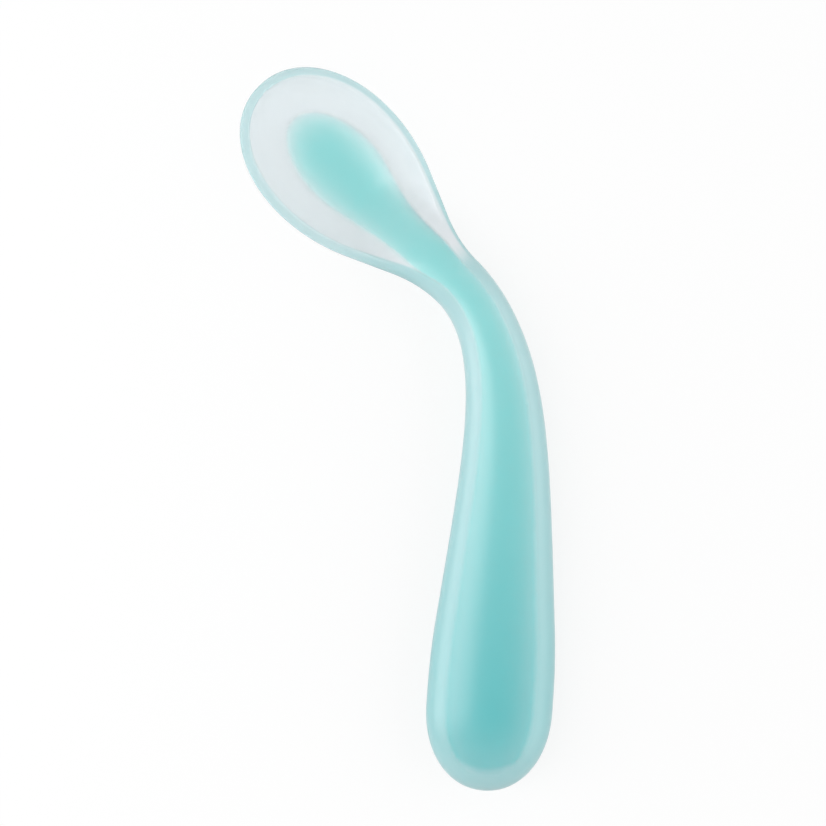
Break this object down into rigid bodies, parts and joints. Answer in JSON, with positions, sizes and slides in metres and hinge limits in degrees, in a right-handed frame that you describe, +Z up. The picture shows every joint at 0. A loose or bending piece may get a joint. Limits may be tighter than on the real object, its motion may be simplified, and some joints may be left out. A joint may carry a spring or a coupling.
{
  "type": "baby spoon",
  "caption": "Soft feeding spoon: clear moulded bowl and skin over a coloured core, with a neck that bends by hand to either side and keeps its bend.",
  "frame": {"origin": "middle of the underside of the object's box, on the table that the spoon lies on", "axes": "+Z up out of the bowl, -Y towards the butt of the grip, +X to the right seen from above; the neck is bent towards -X"},
  "size_m": [0.057, 0.131, 0.0124],
  "materials": {
    "clear_skin": "clear satin silicone",
    "coloured_core": "smooth silicone",
    "wire": "drawn soft wire"
  },
  "bodies": {
    "handle": {"skin_grip": "clear_skin", "core_grip": "coloured_core", "skin_neck": "clear_skin", "core_neck": "coloured_core", "neck_wire": "wire"},
    "bowl": {"skin_bowl": "clear_skin", "core_tongue": "coloured_core"}
  },
  "joints": [
    {"name": "neck_bend", "type": "hinge", "parent": "handle", "child": "bowl", "pos_m": [0.01707, 0.01609, 0.0071], "axis": [0, 0, 1], "range_deg": [-100, 10], "deforming": ["skin_neck", "core_neck", "neck_wire"]}
  ]
}
